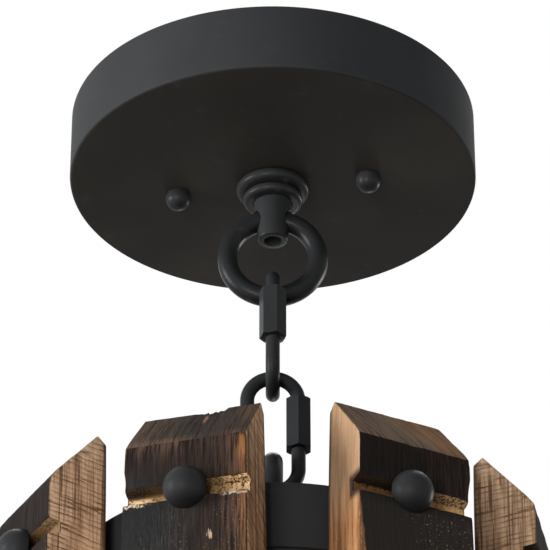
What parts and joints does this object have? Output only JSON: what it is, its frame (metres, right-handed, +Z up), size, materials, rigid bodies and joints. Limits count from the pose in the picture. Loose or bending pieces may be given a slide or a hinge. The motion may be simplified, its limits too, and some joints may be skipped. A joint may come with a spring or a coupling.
{
  "type": "wooden chandelier",
  "caption": "Chandelier of bent barrel staves bolted round a steel drum and a lower hoop, hung from a round ceiling canopy by a ring and screw links, with lamps inside.",
  "frame": {"origin": "middle of the canopy's face on the ceiling", "axes": "+Z up into the ceiling, -Y towards the side the picture shows"},
  "size_m": [0.5453, 0.5429, 1.0601],
  "materials": {
    "black_steel": "satin",
    "black_sheet": "satin",
    "zinc_steel": "zinc plated",
    "charred_oak": "charred, oiled",
    "bulb_glass": "clear",
    "cap_brass": "bright"
  },
  "bodies": {
    "canopy": {"canopy": "black_sheet", "crossbar": "zinc_steel", "canopy_studs": "zinc_steel", "canopy_ball_nuts": "black_steel", "hanger_nipple": "zinc_steel", "nipple_locknuts": "zinc_steel", "hanger_collar": "black_steel", "hanger_neck": "black_steel"},
    "ring": {"hanging_ring": "black_steel"},
    "upper_link": {"upper_link": "black_steel"},
    "upper_link_nut": {"upper_link_nut": "black_steel"},
    "lower_link": {"lower_link": "black_steel"},
    "lower_link_nut": {"lower_link_nut": "black_steel"},
    "fixture": {"hub_eye": "black_steel", "eye_washer": "zinc_steel", "eye_nut": "zinc_steel", "hub_cover": "black_sheet", "hub_drum": "black_sheet", "upper_ball_bolts": "black_steel", "upper_spacers": "zinc_steel", "upper_washers": "zinc_steel", "upper_nuts": "zinc_steel", "lower_hoop": "black_steel", "lower_ball_bolts": "black_steel", "lower_washers": "zinc_steel", "lower_nuts": "zinc_steel", "lamp_stem": "black_steel", "stem_nuts": "zinc_steel", "stem_collar": "black_steel", "lamp_cluster": "black_sheet", "finial": "black_steel", "stave_1": "charred_oak", "stave_2": "charred_oak", "stave_3": "charred_oak", "stave_4": "charred_oak", "stave_5": "charred_oak", "stave_6": "charred_oak", "stave_7": "charred_oak", "stave_8": "charred_oak", "lampholder_1": "black_steel", "lampholder_2": "black_steel", "lampholder_3": "black_steel", "lampholder_4": "black_steel", "bulb_cap_1": "cap_brass", "bulb_cap_2": "cap_brass", "bulb_cap_3": "cap_brass", "bulb_cap_4": "cap_brass", "bulb_1": "bulb_glass", "bulb_2": "bulb_glass", "bulb_3": "bulb_glass", "bulb_4": "bulb_glass"}
  },
  "joints": [
    {"name": "ring_swing", "type": "hinge", "parent": "canopy", "child": "ring", "pos_m": [0, 0, -0.0525], "axis": [1, 0, 0], "range_deg": [-30, 30]},
    {"name": "upper_link_swing", "type": "hinge", "parent": "ring", "child": "upper_link", "pos_m": [0, 0, -0.08563], "axis": [0, 1, 0], "range_deg": [-20, 20]},
    {"name": "upper_nut_screw", "type": "slide", "parent": "upper_link", "child": "upper_link_nut", "axis": [0, 0, -1], "range_m": [0, 0.0094]},
    {"name": "lower_link_swing", "type": "hinge", "parent": "upper_link", "child": "lower_link", "pos_m": [0, 0, -0.13623], "axis": [1, 0, 0], "range_deg": [-20, 20]},
    {"name": "lower_nut_screw", "type": "slide", "parent": "lower_link", "child": "lower_link_nut", "axis": [0, 0, -1], "range_m": [0, 0.0094]},
    {"name": "fixture_swing", "type": "hinge", "parent": "lower_link", "child": "fixture", "pos_m": [0, 0, -0.1855], "axis": [0, 1, 0], "range_deg": [-15, 15]}
  ]
}
